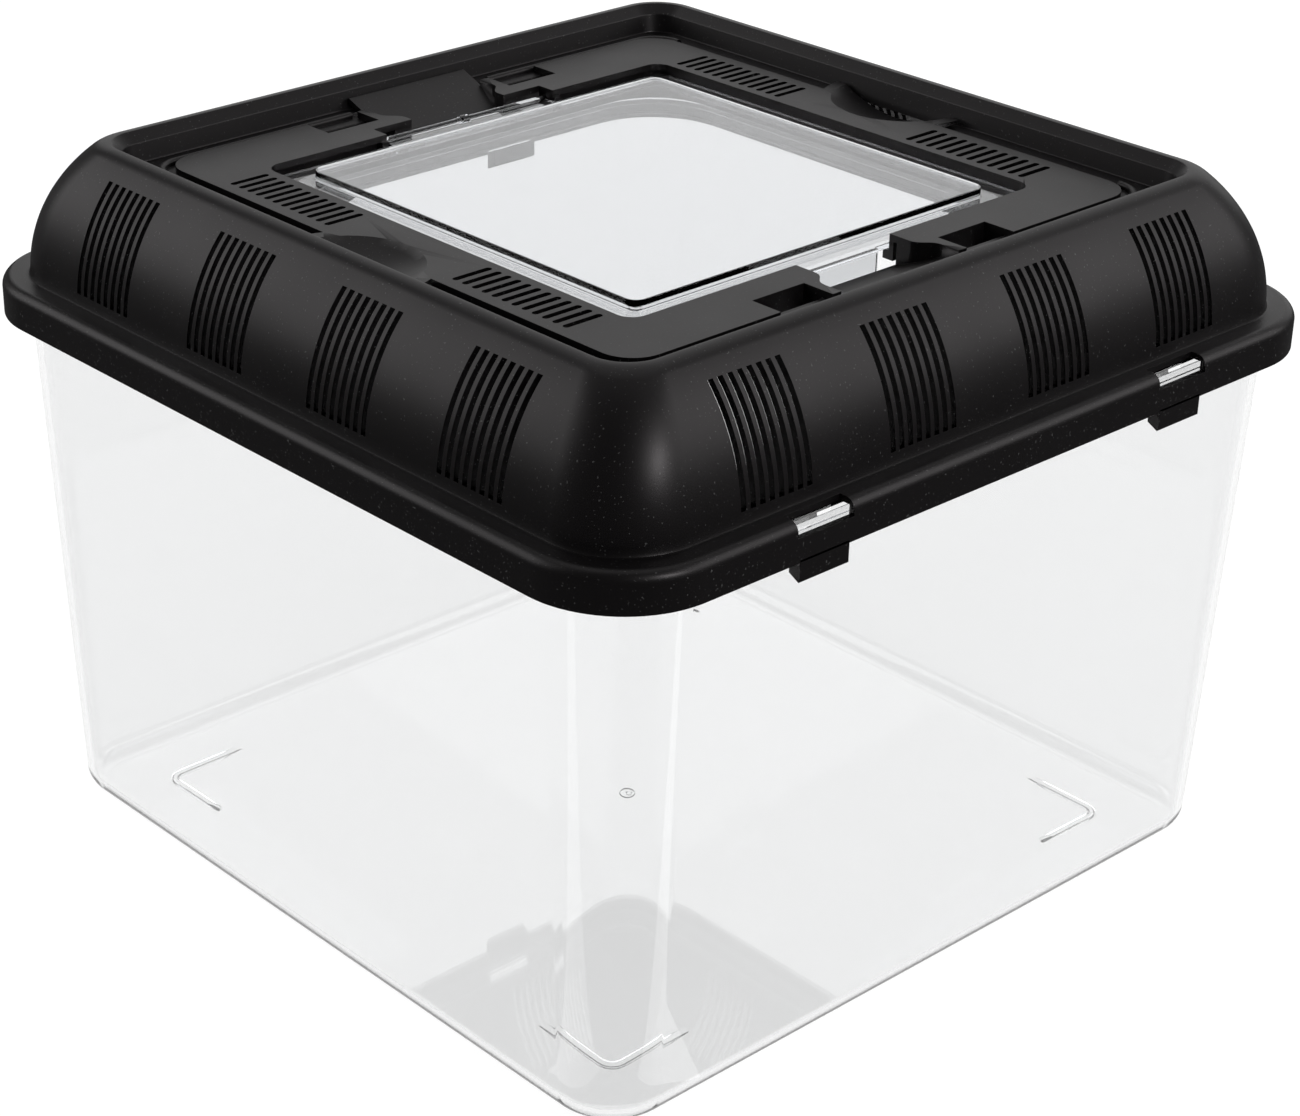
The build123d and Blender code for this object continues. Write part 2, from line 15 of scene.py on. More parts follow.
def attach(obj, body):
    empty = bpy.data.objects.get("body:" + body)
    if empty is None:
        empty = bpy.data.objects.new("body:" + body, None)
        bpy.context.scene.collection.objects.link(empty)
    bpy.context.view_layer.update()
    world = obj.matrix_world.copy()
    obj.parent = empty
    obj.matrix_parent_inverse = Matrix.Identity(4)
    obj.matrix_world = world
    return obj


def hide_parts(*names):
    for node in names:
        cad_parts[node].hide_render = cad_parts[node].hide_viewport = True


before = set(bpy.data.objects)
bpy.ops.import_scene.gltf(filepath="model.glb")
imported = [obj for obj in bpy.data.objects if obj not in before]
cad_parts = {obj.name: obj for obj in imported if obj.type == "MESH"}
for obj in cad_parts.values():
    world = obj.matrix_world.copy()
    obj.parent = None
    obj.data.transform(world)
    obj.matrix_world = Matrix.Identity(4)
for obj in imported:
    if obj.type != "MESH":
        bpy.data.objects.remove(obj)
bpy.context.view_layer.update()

bl_info = {
    "name": "Reptile Breeding Box",
    "version": (1, 0, 0),
    "blender": (4, 5, 0),
    "location": "View3D > Sidebar > Breeding Box",
    "description": "Clear tank with a domed vented lid and a hinged window",
    "category": "Object",
}

MM = 0.001
SIDES = (1, -1)
WHITE = (1.0, 1.0, 1.0, 1.0)

# Steps in a quarter of an upright corner, in a quarter of a lengthwise round, and up a tank wall
CORNER_STEPS = 20
ROUND_STEPS = 12
WALL_STEPS = 12

# Round on a moulded edge: its reach along both faces, and how far its middle stays inside them
EDGE = 0.35 * MM
EDGE_MIDDLE = 0.1 * MM

# Direction round the box that the camera looks from
AZIMUTH = math.radians(48.6)


# Sizes and colours


def length(name, description, millimetres):
    """A distance property with its default given in millimetres."""
    return FloatProperty(
        name=name,
        description=description,
        default=millimetres * MM,
        unit="LENGTH",
        subtype="DISTANCE",
        precision=5,
    )


def tint(name, description, colour):
    """A colour property."""
    return FloatVectorProperty(
        name=name,
        description=description,
        default=(*colour, 1.0),
        size=4,
        subtype="COLOR",
    )


class TankSizes(bpy.types.PropertyGroup):
    base_half: length("Base Half Width", "Half width of the tank at its floor", 139.75)
    base_radius: length("Base Corner Radius", "Upright corner radius at the floor", 21.0)
    draft: FloatProperty(
        name="Wall Draft",
        description="Lean of the walls away from upright",
        default=math.radians(2.5),
        subtype="ANGLE",
    )
    top: length("Mouth Height", "Height of the mouth above the ground", 189.0)
    wall: length("Wall Thickness", "Thickness of the clear walls", 2.2)
    floor: length("Floor Thickness", "Thickness of the clear floor", 2.5)
    bottom_round: length("Bottom Round", "Radius of the bottom edge", 8.0)
    lip_overhang: length("Lip Overhang", "How far the lip stands out", 2.66)
    lip_height: length("Lip Height", "Height of the lip below the mouth", 6.5)
    lip_step: length("Lip Step", "Distance of the lip's step from the mouth", 3.5)
    foot: length("Foot Height", "Height of the stacking feet", 1.5)
    foot_reach: length("Foot Reach", "Distance of a foot's arms from the middle", 113.0)
    foot_arm: length("Foot Arm", "Length of a foot's arm", 31.0)
    foot_width: length("Foot Width", "Width of a foot's arm", 3.0)
    foot_bend: length("Foot Bend", "Radius of a foot's bend", 5.0)


class LidSizes(bpy.types.PropertyGroup):
    half: length("Flange Half Width", "Half width of the flange", 155.0)
    radius: length("Flange Corner Radius", "Corner radius of the flange", 33.0)
    edge_round: length("Flange Edge Round", "Radius of the flange's outer edge", 3.4)
    flange: length("Flange Thickness", "Thickness of the flange and the skirt", 2.0)
    skirt_bottom: length("Skirt Bottom", "Height of the lower edge of the skirt", 178.6)
    flange_top: length("Flange Top", "Height of the flat flange", 191.2)
    rise: length("Shoulder Rise", "Height of the rim above the flange", 43.3)
    foot_half: length("Shoulder Foot", "Half width of the shoulder at the flange", 146.4)
    foot_radius: length("Foot Corner Radius", "Corner radius of the shoulder's foot", 26.0)
    arc: length("Shoulder Arc", "Radius of the shoulder's wide arc", 55.6)
    rim_arc: length("Rim Arc", "Radius of the tighter arc over the rim", 8.3)
    rim_radius: length("Rim Corner Radius", "Corner radius of the rim's crest", 13.0)
    well_half: length("Well Half Width", "Half width of the well below the rim", 119.0)
    well_radius: length("Well Corner Radius", "Corner radius of the well", 9.0)
    well_depth: length("Well Depth", "Depth of the well's seat under the rim", 9.5)
    well_draft: length("Well Draft", "How much the well narrows down to its seat", 1.0)
    seat: length("Seat Width", "Width of the seat round the well's opening", 13.7)
    seat_radius: length("Seat Corner Radius", "Corner radius of the well's opening", 8.0)
    wall: length("Wall Thickness", "Thickness of the shoulder", 2.2)
    slit_width: length("Slit Width", "Width of one vent slit", 2.0)
    slit_pitch: length("Slit Pitch", "Distance between neighbouring slits", 3.6)
    slit_count: IntProperty(name="Slits per Group", description="Slits in one group", default=8)
    slit_bottom: length("Slit Bottom", "Lower end of the slits", 195.2)
    slit_top: length("Slit Top", "Upper end of the slits", 228.7)
    group_place: length("Outer Group Place", "Distance of an outer group from the middle", 87.6)
    hook_place: length("Hook Place", "Distance of a snap hook from the middle", 77.0)


class WindowSizes(bpy.types.PropertyGroup):
    flange_half: length("Flange Half Width", "Half width of the window's flange", 84.9)
    flange_radius: length("Flange Corner Radius", "Corner radius of the flange", 5.0)
    hinge_edge: length("Hinge Edge", "Distance of the hinge side's edge", 81.5)
    bottom: length("Flange Underside", "Height of the underside of the flange", 222.4)
    flange: length("Flange Thickness", "Thickness of the flange", 1.8)
    pane_half: length("Pane Half Width", "Half width of the raised pane", 74.8)
    pane_shift: length("Pane Shift", "How far the pane sits towards the finger tab", 1.0)
    pane_top: length("Pane Top", "Height of the pane's face", 227.0)
    pane: length("Pane Thickness", "Thickness of the raised pane", 2.0)
    pane_wall: length("Pane Wall", "Thickness of the pane's upright wall", 0.5)
    rod: length("Rod Radius", "Radius of the hinge rod", 1.5)


class Finishes(bpy.types.PropertyGroup):
    black: tint("Lid Plastic", "Colour of the lid and the vent frame", (0.0019, 0.0015, 0.0017))
    clear: tint("Clear Plastic", "Tint of the tank", (0.87, 0.873, 0.875))
    window: tint("Window Plastic", "Tint of the window", (0.74, 0.75, 0.765))
    floor: tint("Studio Floor", "Colour of the floor under the box", (0.12, 0.12, 0.12))


# Outlines and rings


def spread(start, end, steps):
    """Evenly spaced values from one end to the other, with both ends."""
    return [start + (end - start) * step / steps for step in range(steps + 1)]


def quarter_turn(steps):
    """Angles from 0 to 90 degrees in even steps."""
    return [math.radians(90 * step / steps) for step in range(steps + 1)]


def rounded_ring(half_x, half_y, radius, z, centre_x=0.0):
    """Points round a rectangle with round corners, anticlockwise from the +X side, in metres."""
    points = []
    corners = ((1, 1, 0), (-1, 1, 90), (-1, -1, 180), (1, -1, 270))
    for side_x, side_y, start in corners:
        middle_x = side_x * (half_x - radius) + centre_x
        middle_y = side_y * (half_y - radius)
        for step in range(CORNER_STEPS + 1):
            angle = math.radians(start + 90.0 * step / CORNER_STEPS)
            x, y = middle_x + radius * math.cos(angle), middle_y + radius * math.sin(angle)
            points.append((x, y, z))
    return points


def profile_rings(profile, corner_centre):
    """Rounded squares through half widths and heights, with their corners about the same centres."""
    return [rounded_ring(half, half, half - corner_centre, z) for half, z in profile]


# Mesh helpers


def skin(shape, loops, closed=False):
    """Faces between neighbouring loops, which run back to the first loop or are capped."""
    pairs = list(zip(loops, loops[1:]))
    if closed:
        pairs.append((loops[-1], loops[0]))
    count = len(loops[0])
    for low, high in pairs:
        for i in range(count):
            j = (i + 1) % count
            shape.faces.new((low[i], low[j], high[j], high[i]))
    if not closed:
        shape.faces.new(list(reversed(loops[0])))
        shape.faces.new(loops[-1])


def add_block(shape, low, high, chamfer=0.0):
    """An upright block between two corners given in millimetres, added to a bmesh."""
    size = [abs(b - a) * MM for a, b in zip(low, high)]
    middle = [(a + b) / 2 * MM for a, b in zip(low, high)]
    place = Matrix.Translation(middle) @ Matrix.Diagonal((*size, 1.0))
    made = bmesh.ops.create_cube(shape, size=1.0, matrix=place)
    if chamfer:
        edges = {edge for vert in made["verts"] for edge in vert.link_edges}
        bmesh.ops.bevel(
            shape,
            geom=list(edges),
            offset=chamfer * MM,
            segments=2,
            profile=0.5,
            affect="EDGES",
        )


def add_corner_block(shape, side_x, side_y, low, high):
    """A block in one quarter of the box, given where it would be in the +X +Y quarter."""
    sides = (side_x, side_y, 1)
    low, high = ([side * value for side, value in zip(sides, point)] for point in (low, high))
    add_block(shape, low, high)


def add_prism(shape, outline, place, depth):
    """A prism whose outline (x, z in millimetres) is drawn across the Y direction of a place."""
    loops = []
    for y in (-depth, depth):
        points = [place @ Vector((x * MM, y * MM, z * MM)) for x, z in outline]
        loops.append([shape.verts.new(point) for point in points])
    skin(shape, loops)


def add_cone(shape, low_radius, high_radius, height, place, segments):
    """A round plug along the Z direction of a place, sizes in millimetres."""
    bmesh.ops.create_cone(
        shape,
        cap_ends=True,
        segments=segments,
        radius1=low_radius * MM,
        radius2=high_radius * MM,
        depth=height * MM,
        matrix=place,
    )


def add_rod(shape, radius, half_length, x, z):
    """A rod along Y, sizes in millimetres."""
    place = Matrix.Translation((x * MM, 0, z * MM)) @ Matrix.Rotation(math.radians(90), 4, "X")
    add_cone(shape, radius, radius, 2 * half_length, place, segments=28)


def sweep(shape, path, outline_at, place):
    """Sweeps an outline along a flat path in millimetres: distances across the path, and heights."""
    loops = []
    for i, point in enumerate(path):
        before = path[max(i - 1, 0)]
        after = path[min(i + 1, len(path) - 1)]
        along = Vector((after[0] - before[0], after[1] - before[1])).normalized()
        across = Vector((along.y, -along.x))
        loop = []
        for offset, z in outline_at(point):
            spot = Vector(point) + across * offset
            loop.append(shape.verts.new(place @ Vector((spot.x * MM, spot.y * MM, z * MM))))
        loops.append(loop)
    skin(shape, loops)


def mesh_from(shape, name):
    """Closes a bmesh into a new mesh with its faces pointing outwards."""
    bmesh.ops.recalc_face_normals(shape, faces=shape.faces)
    mesh = bpy.data.meshes.new(name)
    shape.to_mesh(mesh)
    shape.free()
    return mesh


def new_object(name, mesh):
    """Links a mesh into the scene as an object at the origin."""
    made = bpy.data.objects.new(name, mesh)
    bpy.context.scene.collection.objects.link(made)
    return made


def ring_object(name, rings, closed):
    """An object whose shell runs through a list of rings."""
    shape = bmesh.new()
    skin(shape, [[shape.verts.new(point) for point in ring] for ring in rings], closed)
    return new_object(name, mesh_from(shape, name))


def bake(target):
    """Turns what the modifiers make into the object's own mesh."""
    evaluated = target.evaluated_get(bpy.context.evaluated_depsgraph_get())
    result = bpy.data.meshes.new_from_object(evaluated)
    target.modifiers.clear()
    old = target.data
    target.data = result
    if old.users == 0:
        bpy.data.meshes.remove(old)


def boolean(target, shape, operation):
    """Joins or cuts a bmesh into the target and keeps the result as a plain mesh."""
    tool = new_object("tool", mesh_from(shape, "tool"))
    change = target.modifiers.new("change", "BOOLEAN")
    change.operation = operation
    change.solver = "EXACT"
    change.object = tool
    bake(target)
    spent = tool.data
    bpy.data.objects.remove(tool)
    bpy.data.meshes.remove(spent)


def soften(piece, degrees):
    """Smooth shading, crisp at edges over the given angle, that leaves large flat faces flat."""
    piece.data.shade_smooth()
    piece.data.set_sharp_from_angle(angle=math.radians(degrees))
    weights = piece.modifiers.new("weights", "WEIGHTED_NORMAL")
    weights.keep_sharp = True
    bake(piece)


def dress(piece, material, body, node):
    """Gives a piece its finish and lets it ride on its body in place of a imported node."""
    if not piece.data.materials:
        piece.data.materials.append(material)
        for face in piece.data.polygons:
            face.material_index = 0
    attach(piece, body)
    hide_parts(node)


# Node helpers


def feed(socket, value):
    """Links a socket to another node's output, or sets it to a fixed value."""
    if isinstance(value, bpy.types.NodeSocket):
        socket.id_data.links.new(value, socket)
    else:
        socket.default_value = value


def set_inputs(node, **values):
    """Feeds a node's named inputs."""
    for name, value in values.items():
        feed(node.inputs[name.replace("_", " ")], value)


def add_node(tree, kind, place=(0, 0), **values):
    """Adds a node and feeds its named inputs."""
    made = tree.nodes.new(kind)
    made.location = place
    set_inputs(made, **values)
    return made


def add_noise(tree, place, scale, detail):
    """Noise in the object's own coordinates."""
    own = tree.nodes.get("own") or add_node(tree, "ShaderNodeTexCoord", (-900, 0))
    own.name = "own"
    noise = add_node(
        tree, "ShaderNodeTexNoise", place, Vector=own.outputs["Object"], Scale=scale, Detail=detail
    )
    return noise.outputs["Fac"]


def add_colour_mix(tree, place, factor, first, second):
    """A mix of two colours."""
    mix = tree.nodes.new("ShaderNodeMix")
    mix.location = place
    mix.data_type = "RGBA"
    factor_in, first_in, second_in, mixed = mix.inputs[0], mix.inputs[6], mix.inputs[7], mix.outputs[2]
    feed(factor_in, factor)
    feed(first_in, first)
    feed(second_in, second)
    return mixed


def scaled(colour, factor):
    """A colour made brighter or darker."""
    return tuple(factor * value for value in colour[:3]) + (1.0,)


# Finishes


def new_material(name):
    """An empty material with a Principled shader; returns it, its tree and the shader."""
    material = bpy.data.materials.new(name)
    material.use_nodes = True
    tree = material.node_tree
    tree.nodes.clear()
    shader = add_node(tree, "ShaderNodeBsdfPrincipled", (300, 0))
    add_node(tree, "ShaderNodeOutputMaterial", (600, 0), Surface=shader.outputs["BSDF"])
    return material, tree, shader


def black_plastic(name, colour, shine):
    """Black moulding: fine grain, faint flow marks, a little dust and soft edges."""
    material, tree, shader = new_material(name)
    flow = add_noise(tree, (-650, 150), scale=38.0, detail=3.0)
    specks = add_noise(tree, (-650, 400), scale=1500.0, detail=0.0)
    grain = add_noise(tree, (-650, -250), scale=2600.0, detail=2.0)
    marked = add_colour_mix(tree, (-100, 200), flow, colour, scaled(colour, 1.3))
    sparse = add_node(tree, "ShaderNodeMapRange", (-400, 400), Value=specks, From_Min=0.76, From_Max=0.84)
    dust_colour = (0.05, 0.05, 0.05, 1.0)
    dusty = add_colour_mix(tree, (80, 300), sparse.outputs["Result"], marked, dust_colour)
    rough = add_node(tree, "ShaderNodeMapRange", (-100, -50), Value=flow, To_Min=0.36, To_Max=0.44)
    edge = add_node(tree, "ShaderNodeBevel", (-350, -450), Radius=0.0001)
    edge.samples = 6
    bump = add_node(
        tree,
        "ShaderNodeBump",
        (-100, -300),
        Height=grain,
        Normal=edge.outputs["Normal"],
        Strength=0.06,
        Distance=0.0002,
    )
    set_inputs(
        shader,
        Base_Color=dusty,
        Roughness=rough.outputs["Result"],
        Normal=bump.outputs["Normal"],
        IOR=1.49,
        Specular_IOR_Level=shine,
        Specular_Tint=(1.0, 0.95, 0.965, 1.0),
    )
    return material


def clear_plastic(name, colour, wave, bend):
    """Polished clear moulding with the faint waves that a moulded wall has."""
    material, tree, shader = new_material(name)
    smear = add_noise(tree, (-650, 150), scale=22.0, detail=2.0)
    ripple = add_noise(tree, (-650, -200), scale=9.0, detail=1.0)
    rough = add_node(tree, "ShaderNodeMapRange", (-100, 50), Value=smear, To_Min=0.0, To_Max=0.012)
    bump = add_node(tree, "ShaderNodeBump", (-100, -250), Height=ripple, Strength=wave, Distance=0.001)
    set_inputs(
        shader,
        Base_Color=colour,
        Roughness=rough.outputs["Result"],
        Normal=bump.outputs["Normal"],
        Transmission_Weight=1.0,
        IOR=bend,
    )
    return material


def studio_floor(colour):
    """Plain pale paper."""
    material, tree, shader = new_material("studio_floor")
    paper = add_noise(tree, (-400, -200), scale=300.0, detail=2.0)
    bump = add_node(tree, "ShaderNodeBump", (0, -200), Height=paper, Strength=0.02, Distance=0.0002)
    set_inputs(
        shader,
        Base_Color=colour,
        Roughness=0.9,
        Normal=bump.outputs["Normal"],
        Emission_Color=WHITE,
        Emission_Strength=0.96,
    )
    return material


def finish_named(name):
    """The material of that name, made from the panel's colours the first time it is asked for."""
    made = bpy.data.materials.get(name)
    if made is not None:
        return made
    colours = bpy.context.scene.box_finishes
    if name == "satin_black":
        return black_plastic(name, tuple(colours.black), shine=0.34)
    # Slit walls: the lid's black at half brightness and with almost no shine, painted shade that makes
    # the slits look dark inside
    if name == "painted_shade_black":
        return black_plastic(name, scaled(colours.black, 0.5), shine=0.05)
    if name == "polished_window":
        return clear_plastic(name, tuple(colours.window), wave=0.03, bend=1.5)
    return clear_plastic("polished_tank", tuple(colours.clear), wave=0.05, bend=1.56)


# Vent slits of the lid


def slit_tree():
    """Node tree that cuts curved vent slits into the four sides of the lid's shoulder and gives their
    walls a darker material as painted shade.
    """
    tree = bpy.data.node_groups.new("Vent Slits", "GeometryNodeTree")
    lengths = ("Width", "Pitch", "Bottom", "Top", "Outer Group", "Near", "Far")
    sockets = [("Geometry", "NodeSocketGeometry")]
    sockets += [(name, "NodeSocketFloat") for name in lengths]
    sockets += [("Slits", "NodeSocketInt")]
    sockets += [(name, "NodeSocketMaterial") for name in ("Plastic", "Painted Shade Wall")]
    for name, kind in sockets:
        tree.interface.new_socket(name, in_out="INPUT", socket_type=kind)
    tree.interface.new_socket("Geometry", in_out="OUTPUT", socket_type="NodeSocketGeometry")
    given = tree.nodes.new("NodeGroupInput").outputs

    def calculated(operation, first, second):
        made = tree.nodes.new("ShaderNodeMath")
        made.operation = operation
        feed(made.inputs[0], first)
        feed(made.inputs[1], second)
        return made.outputs[0]

    def vector(x, y, z):
        return add_node(tree, "ShaderNodeCombineXYZ", X=x, Y=y, Z=z).outputs[0]

    def line(count, start, offset):
        made = tree.nodes.new("GeometryNodeMeshLine")
        made.mode = "OFFSET"
        set_inputs(made, Count=count, Start_Location=start, Offset=offset)
        return made.outputs["Mesh"]

    def faced(mesh, name):
        made = add_node(tree, "GeometryNodeSetMaterial", Geometry=mesh, Material=given[name])
        return made.outputs["Geometry"]

    def copied(points, instance, turn=(0, 0, 0)):
        made = add_node(
            tree, "GeometryNodeInstanceOnPoints", Points=points, Instance=instance, Rotation=turn
        )
        return made.outputs["Instances"]

    def realized(geometry):
        made = add_node(tree, "GeometryNodeRealizeInstances", Geometry=geometry)
        return made.outputs["Geometry"]

    reach = calculated("SUBTRACT", given["Far"], given["Near"])
    tall = calculated("SUBTRACT", given["Top"], given["Bottom"])
    slit_size = vector(reach, given["Width"], tall)
    cutter = add_node(tree, "GeometryNodeMeshCube", Size=slit_size)
    middle_x = calculated("MULTIPLY", calculated("ADD", given["Far"], given["Near"]), 0.5)
    middle_z = calculated("MULTIPLY", calculated("ADD", given["Top"], given["Bottom"]), 0.5)
    steps = calculated("SUBTRACT", given["Slits"], 1)
    half_row = calculated("MULTIPLY", calculated("MULTIPLY", steps, given["Pitch"]), -0.5)
    row_start = vector(middle_x, half_row, middle_z)
    row = line(given["Slits"], row_start, vector(0, given["Pitch"], 0))
    # The cutters carry the slit-wall material, painted shade that darkens the insides of the slits
    group = copied(row, faced(cutter.outputs["Mesh"], "Painted Shade Wall"))

    groups_per_side, side_count = 4, 4
    first_group = calculated("MULTIPLY", given["Outer Group"], -1)
    group_step = calculated("MULTIPLY", given["Outer Group"], 2 / (groups_per_side - 1))
    groups = line(groups_per_side, vector(0, first_group, 0), vector(0, group_step, 0))
    side = copied(groups, group)
    index = tree.nodes.new("GeometryNodeInputIndex")
    angle = calculated("MULTIPLY", index.outputs[0], math.pi / 2)
    turn = tree.nodes.new("FunctionNodeEulerToRotation")
    feed(turn.inputs[0], vector(0, 0, angle))
    origin = vector(0, 0, 0)
    all_sides = copied(line(side_count, origin, origin), side, turn.outputs[0])

    cut = tree.nodes.new("GeometryNodeMeshBoolean")
    cut.operation = "DIFFERENCE"
    cut.solver = "EXACT"
    set_inputs(cut, Mesh_1=faced(given["Geometry"], "Plastic"), Mesh_2=realized(all_sides))
    whole = realized(cut.outputs["Mesh"])
    # Faces cut by the slits keep the painted-shade material, and all other faces take the lid's plastic
    inside = add_node(tree, "GeometryNodeMaterialSelection", Material=given["Painted Shade Wall"])
    outside = tree.nodes.new("FunctionNodeBooleanMath")
    outside.operation = "NOT"
    feed(outside.inputs[0], inside.outputs[0])
    finish = add_node(
        tree,
        "GeometryNodeSetMaterial",
        Geometry=whole,
        Selection=outside.outputs[0],
        Material=given["Plastic"],
    )
    add_node(tree, "NodeGroupOutput", Geometry=finish.outputs["Geometry"])
    lay_out(tree)
    return tree


def lay_out(tree):
    """Sets a tree's nodes out in rows, in the order they were added."""
    per_row, column_width, row_height = 8, 220, 280
    for i, node in enumerate(tree.nodes):
        node.location = (column_width * (i % per_row), -row_height * (i // per_row))


def socket_id(tree, name):
    """Identifier of a tree's named input."""
    inputs = [item for item in tree.interface.items_tree if item.in_out == "INPUT"]
    return next(item.identifier for item in inputs if item.name == name)


# Tank


class BOX_OT_tank(bpy.types.Operator):
    """Make the clear tank with its lip, feet and gate mark"""

    bl_idname = "breeding_box.tank"
    bl_label = "Tank"

    def execute(self, context):
        size = context.scene.box_tank
        profile = self.outside_profile(size) + self.inside_profile(size)
        rings = profile_rings(profile, size.base_half - size.base_radius)
        tank = ring_object("tank_clear", rings, closed=False)
        feet = bmesh.new()
        for turn in range(4):
            self.add_foot(feet, size, Matrix.Rotation(math.radians(90 * turn), 4, "Z"))
        boolean(tank, feet, "UNION")
        self.sink_gate_mark(tank, size)
        soften(tank, degrees=28)
        dress(tank, finish_named("polished_tank"), "tank", "tank")
        return {"FINISHED"}

    def face(self, size, z):
        """Half width of the outer face at a height."""
        return size.base_half + (z - size.foot) * math.tan(size.draft)

    def outside_profile(self, size):
        """Half widths and heights from the underside, up the wall and over the lip."""
        round_top = size.foot + size.bottom_round
        round_middle = self.face(size, round_top) - size.bottom_round
        profile = []
        for angle in quarter_turn(ROUND_STEPS):
            half = round_middle + size.bottom_round * math.sin(angle)
            profile.append((half, round_top - size.bottom_round * math.cos(angle)))
        lip_bottom = size.top - size.lip_height
        for z in spread(round_top, lip_bottom, WALL_STEPS)[1:-1]:
            profile.append((self.face(size, z), z))

        wall = self.face(size, lip_bottom)
        lip = self.face(size, size.top) + size.lip_overhang
        step = size.top - size.lip_step
        fillet = 0.5 * MM
        profile += [
            (wall, lip_bottom - fillet),
            (wall + fillet, lip_bottom),
            (lip - EDGE, lip_bottom),
            (lip - EDGE_MIDDLE, lip_bottom + EDGE_MIDDLE),
            (lip, lip_bottom + EDGE),
            (lip, step - 0.25 * MM),
            (lip - EDGE_MIDDLE, step - 0.05 * MM),
            (lip - 0.6 * MM, step),
        ]
        # Lead-in above the step: distance in from the lip's face, and down from the mouth
        for inset, drop in ((0.6, 1.8), (0.75, 1.5), (2.1, 0.15), (2.4, 0.0)):
            profile.append((lip - inset * MM, size.top - drop * MM))
        return profile

    def inside_profile(self, size):
        """Half widths and heights from the mouth down to the floor."""
        mouth = self.face(size, size.top) - size.wall
        # Round on the mouth's inner edge: distance out from the wall, and down from the mouth
        profile = []
        for out, drop in ((0.4, 0.0), (0.1, 0.12), (0.0, 0.4)):
            profile.append((mouth + out * MM, size.top - drop * MM))
        radius = size.bottom_round - size.wall
        round_top = size.foot + size.floor + radius
        for z in spread(size.top, round_top, WALL_STEPS)[1:-1]:
            profile.append((self.face(size, z) - size.wall, z))
        round_middle = self.face(size, round_top) - size.wall - radius
        for angle in quarter_turn(ROUND_STEPS):
            half = round_middle + radius * math.cos(angle)
            profile.append((half, round_top - radius * math.sin(angle)))
        return profile

    def add_foot(self, shape, size, place):
        """A round-bottomed foot that turns one corner and runs out at both ends."""
        reach, bend = size.foot_reach / MM, size.foot_bend / MM
        end = reach - size.foot_arm / MM
        middle = reach - bend
        run_out = 8.0
        runs = (0.0, 2.0, 4.0, 6.0, run_out, 2 * run_out)
        path = [(end + run, reach) for run in runs]
        for angle in reversed(quarter_turn(steps=8)):
            path.append((middle + bend * math.cos(angle), middle + bend * math.sin(angle)))
        path += [(reach, end + run) for run in reversed(runs)]
        top, fullness = 1.9, 0.6

        def outline_at(point):
            run = min(math.dist(point, path[0]), math.dist(point, path[-1]))
            low = size.foot / MM * max(0.0, 1.0 - run / run_out)
            outline = []
            for angle in spread(0.0, math.pi, steps=10):
                z = top - (top - low) * math.sin(angle) ** fullness
                outline.append((size.foot_width / MM / 2 * math.cos(angle), z))
            return outline

        sweep(shape, path, outline_at, place)

    def sink_gate_mark(self, tank, size):
        """A round dent in the middle of the underside, with the stub of the gate in it."""
        place = Matrix.Translation((0, 0, size.foot))
        dent = bmesh.new()
        add_cone(dent, low_radius=3.5, high_radius=3.1, height=1.4, place=place, segments=36)
        boolean(tank, dent, "DIFFERENCE")
        stub = bmesh.new()
        place = place @ Matrix.Translation((0.6 * MM, 0.4 * MM, 0.5 * MM))
        add_cone(stub, low_radius=1.0, high_radius=1.4, height=1.0, place=place, segments=20)
        boolean(tank, stub, "UNION")


# Lid


# Outline of a snap hook, as distances from the middle and heights in millimetres
HOOK_OUTLINE = (
    (155.0, 172.9),
    (155.0, 179.6),
    (153.0, 181.6),
    (150.9, 181.6),
    (150.9, 174.5),
    (154.6, 172.6),
)
HOOK_HALF_WIDTH = 9.6

# Channel in the seat, in millimetres: its two ends, its two sides and the trough's wall
CHANNEL_ENDS = (26.5, 97.0)
CHANNEL_SIDES = (107.5, 111.2)
CHANNEL_WALL = 2.0


class Shoulder:
    """The lid's shoulder: a wide arc that runs into a tighter one over the rim."""

    def __init__(self, size):
        reach = size.arc - size.rim_arc
        self.size = size
        self.join = math.asin((size.rise - size.rim_arc) / reach)
        self.arc_centre = size.foot_half - size.arc
        self.rim_centre = self.arc_centre + reach * math.cos(self.join)
        self.growth = (size.foot_radius - size.rim_radius) / (size.foot_half - self.rim_centre)

    def ring(self, angle, depth=0.0):
        """A level section at an angle up the arcs, at a depth under their face."""
        size = self.size
        centre, radius = self.rim_centre, size.rim_arc
        height = size.flange_top + size.rise - size.rim_arc
        if angle < self.join:
            centre, radius, height = self.arc_centre, size.arc, size.flange_top
        half = centre + (radius - depth) * math.cos(angle)
        z = height + (radius - depth) * math.sin(angle)
        face = centre + radius * math.cos(angle) - self.rim_centre
        corner = size.rim_radius + self.growth * face - depth * math.cos(angle)
        return rounded_ring(half, half, corner, z)


